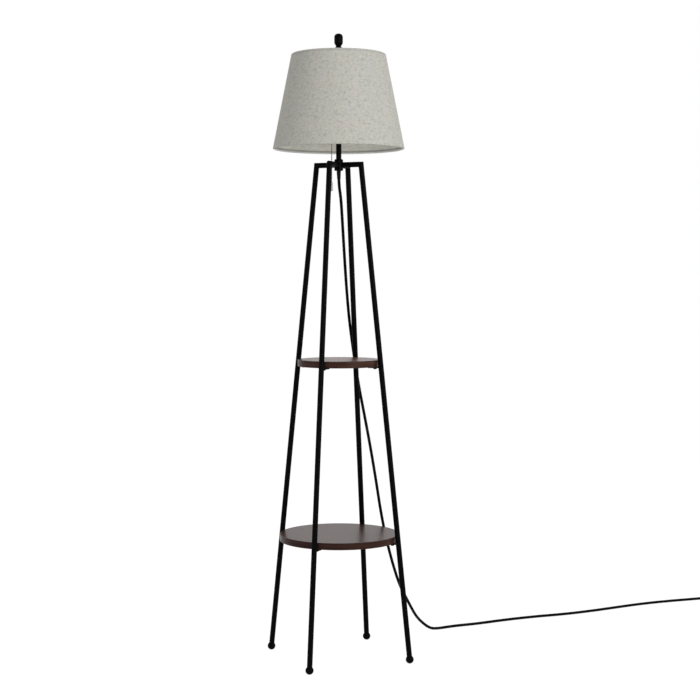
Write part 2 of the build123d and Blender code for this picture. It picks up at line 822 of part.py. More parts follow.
with BuildPart() as finial:
    with BuildSketch(Plane.XZ):
        with BuildLine():
            Polyline(
                (0, finial_bottom),
                (finial_base_r - 0.5, finial_bottom),
                (finial_base_r, finial_bottom + 0.6),
                (finial_base_r, finial_bottom + 4),
                (finial_stem_r, finial_bottom + 6.5),
                (finial_stem_r, collar_z - 4.5),
                (finial_collar_r, collar_z - 1.2),
                (finial_collar_r, collar_z + 1.2),
                (finial_neck_r, neck_z),
            )
            Spline(
                (finial_neck_r, neck_z),
                (finial_body_r * 0.81, (neck_z + belly_z) / 2),
                (finial_body_r, belly_z),
                tangents=[(0.35, 1), (0, 1)],
            )
            Line((finial_body_r, belly_z), (finial_body_r, crown_z))
            Spline(
                (finial_body_r, crown_z),
                (finial_body_r * 0.735, finial_top - 2.4),
                (0, finial_top),
                tangents=[(0, 1), (-1, 0)],
            )
            Line((0, finial_top), (0, finial_bottom))
        make_face()
    revolve(axis=Axis.Z)
    with BuildSketch(Plane.XY.offset(finial_bottom)):
        Circle(finial_bore_r)
    extrude(amount=finial_bore_depth, mode=Mode.SUBTRACT)
save(finial, "finial")

# ---------------------------------------------------------------- cord

floor_z = cord_r
drawn_exit_z = 1159.2        # height of the exit that the route below was drawn for
cord_route = [
    (0, 0, drawn_exit_z),
    (0, 0, 1128),
    (-4, 23, 1096),
    (-8, 41, 1046),
    (-12, 63, 965),
    (-15, 83, 890),
    (-15, 99, 815),
    (-12, 110, 758),
    (-7, 121, 695),
    (1, 129, 632),
    (13, 134, 565),
    (27, 138, 487),
    (40, 142, 405),
    (51, 147, 325),
    (62, 158, 255),
    (73, 176, 190),
    (84, 200, 134),
    (93, 224, 94),
    (100, 248, 63),
    (106, 273, 38),
    (116, 307, 14),
    (137, 352, floor_z),
    (157, 380, floor_z),
    (206, 434, floor_z),
    (264, 499, floor_z),
    (326, 565, floor_z),
    (392, 622, floor_z),
    (452, 688, floor_z),
    (507, 759, floor_z),
    (562, 829, floor_z),
    (626, 893, floor_z),
    (696, 953, floor_z),
    (748, 1001, floor_z),
]
route_stretch = (hub_bottom - floor_z) / (drawn_exit_z - floor_z)
route = [Vector(x, y, floor_z + (z - floor_z) * route_stretch) for x, y, z in cord_route]


def bend_radii(points):
    """For each inner point, the largest arc that its two runs allow."""
    radii = []
    for before, here, after in zip(points, points[1:], points[2:]):
        run_in = here - before
        run_out = after - here
        half_turn = radians(run_in.get_angle(run_out)) / 2
        radii.append(0.45 * min(run_in.length, run_out.length) / tan(half_turn))
    return radii


cord_radii = bend_radii(route)

with BuildPart() as cord_tube:
    with BuildLine() as cord_path:
        FilletPolyline(*route, radius=cord_radii)
    with BuildSketch(Plane(origin=route[0], z_dir=route[1] - route[0])):
        Circle(cord_r)
    sweep(path=cord_path.wires()[0])
save(cord_tube, "cord_tube")

cord_length = cord_path.wires()[0].length
print("cord radii:", [round(radius) for radius in cord_radii])
print("cord tube length:", round(cord_length, 1))
print("volume over section times length:", round(cord_tube.part.volume / (pi * cord_r**2 * cord_length), 4))

coil_width = coil_turns_wide * 2 * cord_r
coil_height = coil_turns_high * 2 * cord_r
coil_bottom = tie_t + tie_slack
last_run = route[-1] - route[-2]
arrival = Vector(last_run.X, last_run.Y, 0).normalized()
across = Vector(arrival.Y, -arrival.X, 0)
coil_centre = Vector(route[-1].X, route[-1].Y, 0) + across * (coil_mean_r + cord_r)

with BuildPart() as cord_coil:
    with BuildSketch(Plane(origin=coil_centre, x_dir=across * -1, z_dir=arrival)) as coil_section:
        with Locations((coil_mean_r, coil_bottom + coil_height / 2)):
            RectangleRounded(coil_width, coil_height, coil_corner_r)
    revolve(axis=Axis(origin=coil_centre, direction=(0, 0, 1)))
save(cord_coil, "cord_coil")

tie_direction = Vector(cos(radians(tie_angle)), sin(radians(tie_angle)), 0)
tie_centre = coil_centre + tie_direction * coil_mean_r + Vector(0, 0, coil_bottom + coil_height / 2)
tie_plane = Plane(origin=tie_centre, x_dir=tie_direction, z_dir=tie_direction.cross(Vector(0, 0, 1)))

with BuildPart() as cord_tie:
    with BuildSketch(tie_plane):
        RectangleRounded(
            coil_width + 2 * (tie_t + tie_slack) + 1,
            coil_height + 2 * (tie_t + tie_slack),
            coil_corner_r,
        )
        RectangleRounded(
            coil_width + 2 * tie_slack + 1,
            coil_height + 2 * tie_slack,
            coil_corner_r - tie_t,
            mode=Mode.SUBTRACT,
        )
    extrude(amount=tie_width / 2, both=True)
save(cord_tie, "cord_tie")

# ---------------------------------------------------------------- plug

plug_z = plug_height / 2
plug_offset = coil_mean_r + 3 * cord_r
plug_outwards = arrival * sin(radians(plug_turn)) - across * cos(radians(plug_turn))
plug_direction = arrival * cos(radians(plug_turn)) + across * sin(radians(plug_turn))
plug_tail = coil_centre + plug_outwards * plug_offset + plug_direction * plug_lead + Vector(0, 0, plug_z)
body_start = plug_tail + plug_direction * relief_length

body_end = body_start + plug_direction * plug_length
blade_start = body_end - plug_direction * blade_root
blade_side = Vector(0, 0, 1).cross(plug_direction)

with BuildPart() as plug_blades:
    for side in (1, -1):
        root_point = blade_start + blade_side * (side * blade_spacing / 2)
        with BuildSketch(Plane(origin=root_point, x_dir=(0, 0, 1), z_dir=plug_direction)):
            Rectangle(blade_width, blade_t)
        extrude(amount=blade_root + blade_length)
        hole_point = root_point + plug_direction * (blade_root + blade_length - blade_hole_inset)
        with BuildSketch(Plane(origin=hole_point, z_dir=blade_side)):
            Circle(blade_hole_r)
        extrude(amount=blade_t, both=True, mode=Mode.SUBTRACT)
save(plug_blades, "plug_blades")

with BuildPart() as plug_body:
    with BuildSketch(Plane(origin=plug_tail, x_dir=(0, 0, 1), z_dir=plug_direction)):
        Circle(relief_tip_r)
    with BuildSketch(Plane(origin=body_start, x_dir=(0, 0, 1), z_dir=plug_direction)):
        Circle(relief_r)
    loft()
    with BuildSketch(Plane(origin=body_start, x_dir=(0, 0, 1), z_dir=plug_direction)):
        RectangleRounded(plug_height, plug_width * 0.72, plug_round)
    with BuildSketch(Plane(origin=body_end, x_dir=(0, 0, 1), z_dir=plug_direction)):
        RectangleRounded(plug_height, plug_width, plug_round)
    loft()
    add(plug_blades.part, mode=Mode.SUBTRACT)
save(plug_body, "plug_body")

print("overall height:", round(finial_top, 2))
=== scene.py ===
"""Looks for a shelf floor lamp: finishes, linen shade, cord with its plug, and the studio."""

from __future__ import annotations

import logging
import math
from dataclasses import dataclass, field
from enum import Enum

import bmesh
import bpy
from mathutils import Matrix, Vector


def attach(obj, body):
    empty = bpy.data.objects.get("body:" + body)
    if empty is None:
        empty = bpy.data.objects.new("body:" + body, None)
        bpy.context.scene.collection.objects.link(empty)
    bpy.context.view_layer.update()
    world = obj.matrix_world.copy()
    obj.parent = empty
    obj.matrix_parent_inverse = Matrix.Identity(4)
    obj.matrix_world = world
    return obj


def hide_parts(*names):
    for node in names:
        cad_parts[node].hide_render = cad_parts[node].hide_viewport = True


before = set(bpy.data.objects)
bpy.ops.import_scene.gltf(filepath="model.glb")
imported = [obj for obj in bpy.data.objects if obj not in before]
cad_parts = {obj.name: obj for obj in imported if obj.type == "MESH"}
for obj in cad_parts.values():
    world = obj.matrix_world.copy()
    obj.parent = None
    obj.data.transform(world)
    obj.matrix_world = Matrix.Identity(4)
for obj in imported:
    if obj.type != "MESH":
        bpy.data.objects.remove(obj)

LOG = logging.getLogger("floor_lamp")
MM = 0.001
Number = "Wire | float"
Colour = tuple[float, float, float]      # linear red, green and blue
Scale = tuple[float, float, float]       # how many in a metre on each axis
WHITE = (1.0, 1.0, 1.0, 1.0)
SIDES = ("front", "right", "back", "left")
LIFT = 0.0005                            # added to a black's paler patches, which still show
HAIR = 1e-9                              # slack where two numbers should be equal
MIX_FACTOR, MIX_FIRST, MIX_SECOND, MIX_RESULT = 0, 6, 7, 2   # a colour Mix node's sockets


# ---------------------------------------------------------------- shader graphs


class Wire:
    """One output socket. Arithmetic on it adds Math nodes to its graph."""

    def __init__(self, graph: Graph, socket: bpy.types.NodeSocket) -> None:
        """Hold an output socket and the graph that new Math nodes go into."""
        self.graph = graph
        self.socket = socket

    def math(self, operation: str, *values: Number) -> Wire:
        """Return the result of one Math node on the given values."""
        return self.graph.node("ShaderNodeMath", {"operation": operation}, dict(enumerate(values)))

    def __add__(self, other: Number) -> Wire:
        """Return self + other."""
        return self.math("ADD", self, other)

    __radd__ = __add__

    def __sub__(self, other: Number) -> Wire:
        """Return self - other."""
        return self.math("SUBTRACT", self, other)

    def __rsub__(self, other: Number) -> Wire:
        """Return other - self."""
        return self.math("SUBTRACT", other, self)

    def __mul__(self, other: Number) -> Wire:
        """Return self * other."""
        return self.math("MULTIPLY", self, other)

    def __gt__(self, other: Number) -> Wire:
        """Return 1 where self is above other, else 0."""
        return self.math("GREATER_THAN", self, other)

    def __abs__(self) -> Wire:
        """Return the absolute value."""
        return self.math("ABSOLUTE", self)

    def sine(self) -> Wire:
        """Return the sine."""
        return self.math("SINE", self)

    def between(self, low: float, high: float) -> Wire:
        """Return a value that rises smoothly from 0 at low to 1 at high."""
        feeds = {"Value": self, "From Min": low, "From Max": high}
        return self.graph.node("ShaderNodeMapRange", {"interpolation_type": "SMOOTHSTEP"}, feeds)


class Graph:
    """A node tree that starts empty."""

    def __init__(self, tree: bpy.types.NodeTree) -> None:
        """Empty the tree of a material or a world."""
        self.tree = tree
        tree.nodes.clear()

    def node(
        self,
        kind: str,
        settings: dict[str, object] | None = None,
        feeds: dict[str | int, object] | None = None,
        output: str | int = 0,
    ) -> Wire:
        """Add a node of any kind.

        Args:
            kind: The node's type name.
            settings: Properties to set first, by name.
            feeds: A value or a wire for each input, by name or number.
            output: The output to return.

        Returns:
            The chosen output.
        """
        made = self.tree.nodes.new(kind)
        for name, value in (settings or {}).items():
            setattr(made, name, value)
        for name, value in (feeds or {}).items():
            if isinstance(value, Wire):
                self.tree.links.new(value.socket, made.inputs[name])
            else:
                made.inputs[name].default_value = value
        chosen = made.outputs[output] if made.outputs else None
        return Wire(self, chosen)

    def place(self, source: str = "Object") -> Wire:
        """Return a piece's Object coordinates, or with "UV" those of its own map."""
        return self.node("ShaderNodeTexCoord", output=source)

    def part(self, vector: Wire, axis: str) -> Wire:
        """Return a vector's X, Y or Z."""
        return self.node("ShaderNodeSeparateXYZ", {}, {"Vector": vector}, axis)

    def joined(self, x: Number, y: Number, z: Number) -> Wire:
        """Return the vector of three values."""
        return self.node("ShaderNodeCombineXYZ", {}, {"X": x, "Y": y, "Z": z})

    def seen(self) -> Wire:
        """Tell the rays that show the studio's white from those that light the lamp.

        Returns:
            1 for a ray from the camera, through glass or off a gloss, else 0.
        """
        names = ("Is Camera Ray", "Is Transmission Ray", "Is Glossy Ray")
        camera, passing, glossy = (self.node("ShaderNodeLightPath", output=name) for name in names)
        return camera.math("MAXIMUM", camera.math("MAXIMUM", camera, passing), glossy)

    def noise(
        self,
        vector: Wire,
        scale: float | Scale,
        detail: float = 2.0,
        roughness: float = 0.5,
        turn: float = 0.0,
    ) -> Wire:
        """Add a noise pattern.

        Args:
            vector: Where it is read.
            scale: Patches in a metre, on every axis or with a value for each.
            detail: Number of finer layers.
            roughness: Strength of the finer layers.
            turn: Degrees about Z by which the coordinates are turned first.

        Returns:
            A value around 0.5.
        """
        if turn:
            turned = {"Vector": vector, "Rotation": (0.0, 0.0, math.radians(turn))}
            vector = self.node("ShaderNodeMapping", {}, turned)
        if isinstance(scale, tuple):
            vector = self.node("ShaderNodeMapping", {}, {"Vector": vector, "Scale": scale})
            scale = 1.0
        feeds = {"Vector": vector, "Scale": scale, "Detail": detail, "Roughness": roughness}
        return self.node("ShaderNodeTexNoise", {}, feeds)

    def blend(self, first: Wire | Colour, second: Wire | Colour, factor: Number) -> Wire:
        """Mix two colours.

        Args:
            first: Colour or wire at factor 0.
            second: Colour or wire at factor 1.
            factor: How much of the second.

        Returns:
            The mixed colour.
        """
        ends = [(*end, 1.0) if isinstance(end, tuple) else end for end in (first, second)]
        feeds = {MIX_FACTOR: factor, MIX_FIRST: ends[0], MIX_SECOND: ends[1]}
        return self.node("ShaderNodeMix", {"data_type": "RGBA"}, feeds, MIX_RESULT)

    def mixed(self, share: Number, first: Wire, second: Wire) -> Wire:
        """Return two shaders mixed by the second one's share."""
        return self.node("ShaderNodeMixShader", {}, {0: share, 1: first, 2: second})

    def bump(self, height: Wire, distance: float, strength: float = 1.0) -> Wire:
        """Return the normal of a height, where 1 stands for a distance in metres."""
        feeds = {"Height": height, "Distance": distance, "Strength": strength}
        return self.node("ShaderNodeBump", {}, feeds)

    def surface(self, feeds: dict[str, object]) -> None:
        """End the graph in one Principled shader with the given inputs."""
        self.end(self.node("ShaderNodeBsdfPrincipled", {}, feeds))

    def end(self, shader: Wire, kind: str = "ShaderNodeOutputMaterial") -> None:
        """Link the last shader to an output node."""
        self.node(kind, {}, {"Surface": shader})


# ---------------------------------------------------------------- finishes


@dataclass(frozen=True)
class Finish:
    """A named finish. Each kind of finish draws its own graph."""

    name: str
    colour: Colour                   # linear, from 0 to 1

    def material(self) -> bpy.types.Material:
        """Make the material on first use.

        Returns:
            The material.
        """
        made = bpy.data.materials.get(self.name)
        if made is None:
            made = bpy.data.materials.new(self.name)
            made.use_nodes = True
            self.draw(Graph(made.node_tree))
        return made

    def draw(self, graph: Graph) -> None:
        """Draw the finish into an empty graph."""
        raise NotImplementedError

    def toned(self, factor: float, added: float = 0.0) -> Colour:
        """Return the finish's colour, scaled and lifted."""
        return tuple(channel * factor + added for channel in self.colour)


@dataclass(frozen=True)
class PowderCoat(Finish):
    """Baked satin powder on steel, with a fine orange-peel skin."""

    roughness: float = 0.46
    peel: float = 950.0              # bumps of the skin in a metre
    depth: float = 0.012 * MM        # height of the bumps
    gloss: float = 0.03              # specular level
    patches: float = 22.0            # patches of paler tone in a metre
    paler: float = 1.7               # their tone as a share of the coat's
    uneven: float = 0.16             # spread of the roughness

    def draw(self, graph: Graph) -> None:
        """Draw an even coat with faint drifts in tone and gloss.

        Args:
            graph: An empty graph.
        """
        spot = graph.place()
        drift = graph.noise(spot, self.patches, 3.0)
        skin = graph.noise(spot, self.peel)
        lifted = self.toned(self.paler, LIFT)
        graph.surface(
            {
                "Base Color": graph.blend(self.colour, lifted, drift.between(0.35, 0.75)),
                "Roughness": self.roughness + (drift - 0.5) * self.uneven,
                "Specular IOR Level": self.gloss,
                "Normal": graph.bump(skin, self.depth),
            }
        )


@dataclass(frozen=True)
class Metal(Finish):
    """Bare or plated metal with fine tool lines."""

    roughness: float = 0.28
    lines: Scale = (60.0, 60.0, 2600.0)      # tool marks in a metre on each axis
    haze: float = 70.0               # hazy patches in a metre
    dulled: float = 0.72             # tone of the haze as a share of the metal's

    def draw(self, graph: Graph) -> None:
        """Draw metal with faint turned lines and a little haze.

        Args:
            graph: An empty graph.
        """
        spot = graph.place()
        haze = graph.noise(spot, self.haze, 3.0)
        tool = graph.noise(spot, self.lines)
        dull = self.toned(self.dulled)
        graph.surface(
            {
                "Base Color": graph.blend(self.colour, dull, haze.between(0.4, 0.8)),
                "Metallic": 1.0,
                "Roughness": self.roughness + (haze - 0.5) * 0.2 + (tool - 0.5) * 0.1,
                "Normal": graph.bump(tool, 0.02 * MM),
            }
        )


@dataclass(frozen=True)
class Plastic(Finish):
    """Moulded or extruded plastic."""

    roughness: float = 0.45
    grain: float = 1400.0            # bumps of the skin in a metre
    depth: float = 0.04 * MM         # height of the bumps
    gloss: float = 0.5               # specular level
    patches: float = 35.0            # patches of paler tone in a metre
    paler: float = 1.35              # their tone as a share of the plastic's
    uneven: float = 0.18             # spread of the roughness

    def draw(self, graph: Graph) -> None:
        """Draw a moulded skin with a fine grain.

        Args:
            graph: An empty graph.
        """
        spot = graph.place()
        drift = graph.noise(spot, self.patches)
        skin = graph.noise(spot, self.grain)
        lifted = self.toned(self.paler, LIFT)
        graph.surface(
            {
                "Base Color": graph.blend(self.colour, lifted, drift),
                "Roughness": self.roughness + (skin - 0.5) * self.uneven,
                "Specular IOR Level": self.gloss,
                "Normal": graph.bump(skin, self.depth),
            }
        )


@dataclass(frozen=True)
class FrostedBulb(Finish):
    """White-coated bulb glass."""

    roughness: float = 0.32
    milk: Colour = (0.95, 0.94, 0.90)

    def draw(self, graph: Graph) -> None:
        """Draw milky glass with a soft inner coat.

        Args:
            graph: An empty graph.
        """
        coat = graph.noise(graph.place(), 60.0, 3.0)
        graph.surface(
            {
                "Base Color": graph.blend(self.colour, self.milk, coat),
                "Roughness": self.roughness + (coat - 0.5) * 0.08,
                "Transmission Weight": 0.35,
                "IOR": 1.45,
            }
        )


@dataclass(frozen=True)
class StainedBoard(Finish):
    """A veneered round board under satin lacquer, its grain along X and a band round its edge."""

    rim: float = 100.0 * MM          # radius of the board
    dark: Colour = (0.021, 0.0085, 0.006)
    pore: Colour = (0.012, 0.006, 0.005)
    roughness: float = 0.32
    gloss: float = 0.08              # specular level
    figure: Scale = (5.0, 130.0, 130.0)      # streaks in a metre along and across the grain
    pores: Scale = (45.0, 1500.0, 1500.0)
    band: Scale = (9.0, 40.0, 420.0)
    stray: float = 12.0 * MM         # how far the grain strays sideways
    edge_stain: float = 0.45         # how much darker the band is stained

    def draw(self, graph: Graph) -> None:
        """Draw streaked grain on the faces and a lengthways band on the edge.

        Args:
            graph: An empty graph.
        """
        spot = graph.place()
        x, y, z = (graph.part(spot, axis) for axis in "XYZ")
        radius = x.math("SQRT", x * x + y * y)
        edge = radius.between(self.rim - 1.3 * MM, self.rim - 0.7 * MM)
        banded = graph.joined(y.math("ARCTAN2", y, x) * self.rim, radius, z)
        wander = graph.noise(spot, 9.0)
        face = graph.joined(x, y + (wander - 0.5) * self.stray, z)
        figure, pores, band = (
            graph.noise(grain, scale, 4.0, 0.55)
            for grain, scale in ((face, self.figure), (face, self.pores), (banded, self.band))
        )
        streak = figure + (band - figure) * edge
        tone = graph.blend(self.dark, self.colour, streak.between(0.30, 0.70))
        tone = graph.blend(tone, self.dark, edge * self.edge_stain)
        graph.surface(
            {
                "Base Color": graph.blend(tone, self.pore, pores.between(0.58, 0.80) * 0.5),
                "Roughness": self.roughness + (figure - 0.5) * 0.10,
                "Specular IOR Level": self.gloss,
                "Normal": graph.bump(pores * 0.6 + figure * 0.4, 0.05 * MM, 0.6),
            }
        )


@dataclass(frozen=True)
class BackedLinen(Finish):
    """The smooth plastic sheet behind the linen, through which the weave shows as soft mottling."""

    warm: Colour = (0.93, 0.90, 0.79)
    roughness: float = 0.55
    shade: float = 0.80              # tone of the slubs as a share of the sheet's

    def draw(self, graph: Graph) -> None:
        """Draw a cream sheet with the cloth's slubs showing faintly.

        Args:
            graph: An empty graph.
        """
        spot = graph.place()
        upright = graph.noise(spot, (420.0, 420.0, 90.0))
        level = graph.noise(spot, (80.0, 80.0, 420.0))
        cloud = graph.noise(spot, 40.0)
        shown = (upright * 0.45 + level * 0.55).between(0.36, 0.66)
        dull = self.toned(self.shade)
        warm = graph.blend(self.warm, self.colour, cloud.between(0.35, 0.65))
        graph.surface(
            {
                "Base Color": graph.blend(dull, warm, shown),
                "Roughness": self.roughness + (cloud - 0.5) * 0.1,
                "Specular IOR Level": 0.35,
                "Normal": graph.bump(shown, 0.03 * MM, 0.5),
            }
        )


class Thread(Enum):
    """The thread that carries a colour."""

    EITHER = 0
    LEVEL = 1
    UPRIGHT = 2


@dataclass(frozen=True)
class Spots:
    """One kind of coloured area, slub or fleck in the linen."""

    colour: Colour
    scale: float | Scale             # how many in a metre of cloth
    turn: float                      # degrees that they lean
    low: float                       # noise at which one begins
    high: float                      # noise at which it is full
    strength: float
    carrier: Thread = Thread.EITHER
    finer: tuple[float, float] = (1.0, 0.5)  # number and strength of finer layers


@dataclass(frozen=True)
class Linen(Finish):
    """Plain-woven oatmeal linen with slubs and flecks, drawn on the cloth's flat pattern."""

    thread: float = 0.95 * MM        # from one thread to the next
    wall: float = 221.1 * MM         # from one rolled edge to the other
    shadow: Colour = (0.36, 0.355, 0.315)
    hidden: float = 0.62             # share of a slub that the crossing thread hides
    spots: tuple[Spots, ...] = (
        # dull mottling, then rosy and straw-coloured areas
        Spots((0.42, 0.415, 0.375), (150.0, 110.0, 1.0), 0.0, 0.46, 0.78, 0.55, finer=(3.0, 0.6)),
        Spots((0.66, 0.54, 0.53), 21.0, 0.0, 0.50, 0.68, 0.21),
        Spots((0.58, 0.59, 0.42), (26.0, 22.0, 1.0), 60.0, 0.50, 0.70, 0.15),
        # dark slubs in the level and in the upright threads
        Spots((0.22, 0.215, 0.18), (95.0, 165.0, 1.0), 4.0, 0.54, 0.68, 0.32, Thread.LEVEL),
        Spots((0.25, 0.235, 0.19), (150.0, 80.0, 1.0), -6.0, 0.58, 0.72, 0.36, Thread.UPRIGHT),
        # dyed fibre and bark
        Spots((0.46, 0.38, 0.37), (85.0, 80.0, 1.0), 35.0, 0.56, 0.70, 0.17),
        Spots((0.11, 0.10, 0.075), (125.0, 160.0, 1.0), -12.0, 0.69, 0.83, 0.42),
    )

    def draw(self, graph: Graph) -> None:
        """Draw threads, thick and thin slubs, mottling, coloured flecks, and painted shade,
        highlight and shadow at the rolled edges.

        Args:
            graph: An empty graph.
        """
        cloth = graph.place("UV")
        height, over = self._weave(graph, cloth)
        slub = self._slubs(graph, cloth, over)
        tone = graph.blend(self.shadow, self.colour, 0.52 + slub * 0.48)
        tone = self._spotted(graph, cloth, over, tone)
        tone = self._edges(graph, tone)
        groove = (1.0 - height).between(0.35, 1.0)
        graph.surface(
            {
                "Base Color": graph.blend(tone, self.shadow, groove * 0.30),
                "Roughness": 0.93,
                "Sheen Weight": 0.12,
                "Specular IOR Level": 0.2,
                "Normal": graph.bump(height * 0.6 + slub * 0.4, 0.16 * MM, 0.8),
            }
        )

    def _weave(self, graph: Graph, cloth: Wire) -> tuple[Wire, Wire]:
        """Draw the crossing threads.

        Args:
            graph: The graph.
            cloth: Coordinates on the flat cloth.

        Returns:
            The threads' height, and 1 where the upright thread is on top.
        """
        turn = math.pi / self.thread
        warp = (graph.part(cloth, "X") * turn).sine()
        weft = (graph.part(cloth, "Y") * turn).sine()
        over = (warp * weft) > 0.0
        return abs(warp) * over + abs(weft) * (1.0 - over), over

    @staticmethod
    def _slubs(graph: Graph, cloth: Wire, over: Wire) -> Wire:
        """Draw thick and thin places along the threads, fine and coarse.

        Args:
            graph: The graph.
            cloth: Coordinates on the flat cloth.
            over: 1 where the upright thread is on top.

        Returns:
            A value from 0, dark, to 1, pale.
        """
        upright = graph.noise(cloth, (900.0, 75.0, 1.0))
        level = graph.noise(cloth, (75.0, 900.0, 1.0))
        fine = (upright * over + level * (1.0 - over)).between(0.36, 0.66)
        dashes = graph.noise(cloth, (130.0, 400.0, 1.0), 1.0)
        ticks = graph.noise(cloth, (380.0, 150.0, 1.0), 1.0, turn=9.0)
        coarse = (dashes * 0.58 + ticks * 0.42).between(0.40, 0.58)
        return fine * 0.35 + coarse * 0.65

    def _spotted(self, graph: Graph, cloth: Wire, over: Wire, tone: Wire) -> Wire:
        """Add soft areas of colour, dark slubs, and flecks of dyed fibre and bark.

        Args:
            graph: The graph.
            cloth: Coordinates on the flat cloth.
            over: 1 where the upright thread is on top.
            tone: The colour so far.

        Returns:
            The new colour.
        """
        shows = {
            Thread.EITHER: 1.0,
            Thread.LEVEL: 1.0 - over * self.hidden,
            Thread.UPRIGHT: (1.0 - self.hidden) + over * self.hidden,
        }
        for kind in self.spots:
            spread = graph.noise(cloth, kind.scale, *kind.finer, kind.turn)
            share = spread.between(kind.low, kind.high) * (shows[kind.carrier] * kind.strength)
            tone = graph.blend(tone, kind.colour, share)
        return tone

    def _edges(self, graph: Graph, tone: Wire) -> Wire:
        """Add painted shade on the top roll's crest, in a line below that roll and under the lower
        roll, a painted highlight on the lower roll, and a painted shadow over the hem glued inside
        it.

        Args:
            graph: The graph.
            tone: The colour so far.

        Returns:
            The new colour.
        """
        run = graph.node("ShaderNodeAttribute", {"attribute_name": "run"}, {}, "Fac")
        crest = 1.0 - run.between(-1.2 * MM, 0.8 * MM)
        sunk = run.between(0.6 * MM, 1.8 * MM) * (1.0 - run.between(3.2 * MM, 5.0 * MM))
        under = run.between(self.wall + 0.8 * MM, self.wall + 2.4 * MM)
        rolled = run.between(self.wall + 3.0 * MM, self.wall + 4.2 * MM)
        tucked = run.between(self.wall + 7.0 * MM, self.wall + 9.4 * MM)
        # painted shade on the top roll's crest and just below it, painted shade under the lower
        # roll, a painted highlight on that roll and a painted shadow over its hem
        for colour, share in (
            ((0.40, 0.40, 0.37), crest * 0.25),
            (self.shadow, sunk * 0.45),
            ((0.34, 0.335, 0.31), under * (1.0 - rolled) * 0.25),
            ((0.95, 0.95, 0.92), rolled * 0.85),
            ((0.26, 0.26, 0.25), tucked * 0.55),
        ):
            tone = graph.blend(tone, colour, share)
        return tone


@dataclass(frozen=True)
class PaleFloor(Finish):
    """A pale floor that shows white, and keeps the lamp's shadow."""

    glow: float = 1.11               # strength of the white
    share: float = 0.86              # share of the white in what is seen

    def draw(self, graph: Graph) -> None:
        """Draw a matt floor that glows only for the rays that show the studio.

        Args:
            graph: An empty graph.
        """
        matt = graph.node("ShaderNodeBsdfDiffuse", {}, {"Color": (*self.colour, 1.0)})
        glow = graph.node("ShaderNodeEmission", {}, {"Color": WHITE, "Strength": self.glow})
        graph.end(graph.mixed(graph.seen() * self.share, matt, glow))


class Look(Enum):
    """The finishes of the lamp's pieces and of the floor."""

    STEEL = PowderCoat("satin_black_powder", (0.0011, 0.0010, 0.0012))
    CASTING = PowderCoat("satin_black_casting", (0.0011, 0.0010, 0.0012), 0.38, 620.0, 0.03 * MM)
    ZINC = Metal("bright_zinc", (0.62, 0.62, 0.60), 0.30)
    NICKEL = Metal("nickel_plate", (0.235, 0.23, 0.222), 0.26, (500.0, 500.0, 500.0))
    BRASS = Metal("pressed_brass", (0.72, 0.54, 0.26), 0.30)
    BULB_CAP = Metal("bulb_cap_aluminium", (0.78, 0.78, 0.77), 0.26)
    PHENOLIC = Plastic("black_phenolic", (0.018, 0.017, 0.016), 0.30, 500.0)
    FIBRE = Plastic("fibre_sleeve", (0.10, 0.075, 0.055), 0.75, 800.0)
    VINYL = Plastic("black_vinyl_cord", (0.0010, 0.0010, 0.0012), 0.52, 1800.0, 0.010 * MM, 0.035)
    MOULDING = Plastic(
        "black_plug_moulding", (0.0022, 0.0022, 0.0024), 0.42, 1500.0, 0.03 * MM, 0.08
    )
    WRAP = Plastic("black_wrap_tie", (0.004, 0.004, 0.004), 0.62, 2200.0, 0.04 * MM, 0.10)
    LINER = BackedLinen("linen_backed_liner", (0.95, 0.935, 0.855))
    WHITE_WIRE = PowderCoat("white_coated_wire", (0.70, 0.69, 0.64), 0.38, 900.0, 0.02 * MM, 0.4)
    FROST = FrostedBulb("frosted_bulb", (0.88, 0.87, 0.83))
    # the upper board's paler colour is painted light: a lit copy of the lower board's stain, for
    # the brighter light on the upper shelf
    UPPER_BOARD_PAINTED_LIGHT = StainedBoard("stained_board_upper_painted_light", (0.106, 0.041, 0.027), 97.991 * MM)
    LOWER_BOARD = StainedBoard("stained_board_lower", (0.064, 0.0245, 0.017), 141.794 * MM)
    LINEN = Linen("oatmeal_linen", (0.60, 0.60, 0.55))
    FLOOR = PaleFloor("pale_floor", (0.80, 0.80, 0.80))

    def dress(self, piece: bpy.types.Object) -> None:
        """Put this finish on a piece.

        Args:
            piece: A mesh or curve object.
        """
        material = self.value.material()
        if not piece.data.materials:
            piece.data.materials.append(material)
        for slot in piece.material_slots:
            slot.material = material


# ---------------------------------------------------------------- mesh helpers


def placed(name: str, data: bpy.types.ID) -> bpy.types.Object:
    """Put a mesh, curve, light or camera into the scene.

    Args:
        name: The object's name.
        data: What it shows.

    Returns:
        The new object, at the origin.
    """
    made = bpy.data.objects.new(name, data)
    bpy.context.scene.collection.objects.link(made)
    return made


def finished(name: str, mesh: bmesh.types.BMesh, look: Look) -> bpy.types.Object:
    """Turn a bmesh into a finished piece at the origin.

    Args:
        name: The piece's name.
        mesh: The shape, freed here.
        look: Its finish.

    Returns:
        The new object.
    """
    data = bpy.data.meshes.new(name)
    mesh.to_mesh(data)
    mesh.free()
    for face in data.polygons:
        face.use_smooth = True
    piece = placed(name, data)
    look.dress(piece)
    return piece


def chain_of(mesh: bmesh.types.BMesh, points: list[Vector]) -> list[bmesh.types.BMVert]:
    """Add an open chain of edges.

    Args:
        mesh: The shape to add to.
        points: The chain's points.

    Returns:
        The new vertices, in order.
    """
    verts = [mesh.verts.new(point) for point in points]
    for first, second in zip(verts, verts[1:]):
        mesh.edges.new((first, second))
    return verts


